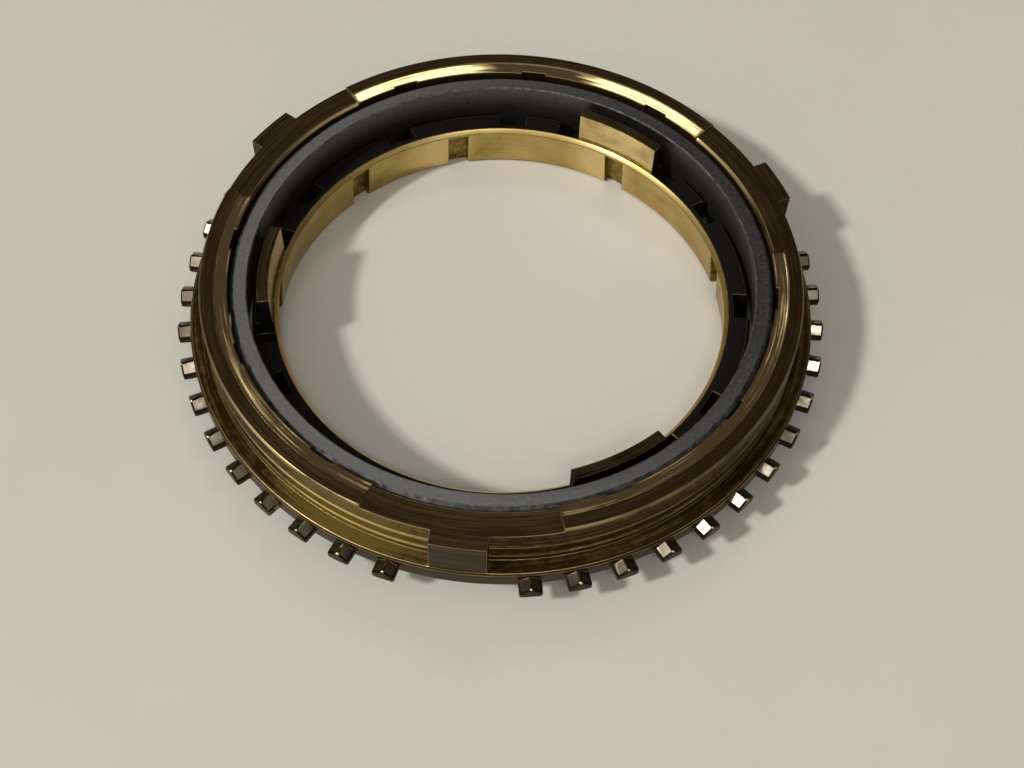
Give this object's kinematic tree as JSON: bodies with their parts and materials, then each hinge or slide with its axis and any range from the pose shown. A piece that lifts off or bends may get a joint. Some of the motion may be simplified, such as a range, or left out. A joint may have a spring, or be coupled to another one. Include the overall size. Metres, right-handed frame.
{
  "type": "synchronizer ring",
  "caption": "Nested gearbox synchronizer ring set: toothed brass blocker ring with hub lugs, a steel double cone and a grooved brass inner cone ring.",
  "frame": {"origin": "on the ring axis at the plane the set rests on, gear side down", "axes": "+Z along the ring axis away from the gear, -Y towards the first lug"},
  "size_m": [0.084, 0.0834, 0.0129],
  "materials": {
    "aged_brass": "turned brass with brown patina",
    "ground_steel": "ground steel, dull grey",
    "turned_brass": "bright turned brass"
  },
  "bodies": {
    "rings": {"outer_ring": "aged_brass", "inner_ring": "turned_brass"},
    "cone": {"double_cone": "ground_steel"}
  },
  "joints": [
    {"name": "cone_spin", "type": "hinge", "parent": "rings", "child": "cone", "pos_m": [0, 0, 0], "axis": [0, 0, 1], "continuous": true}
  ]
}
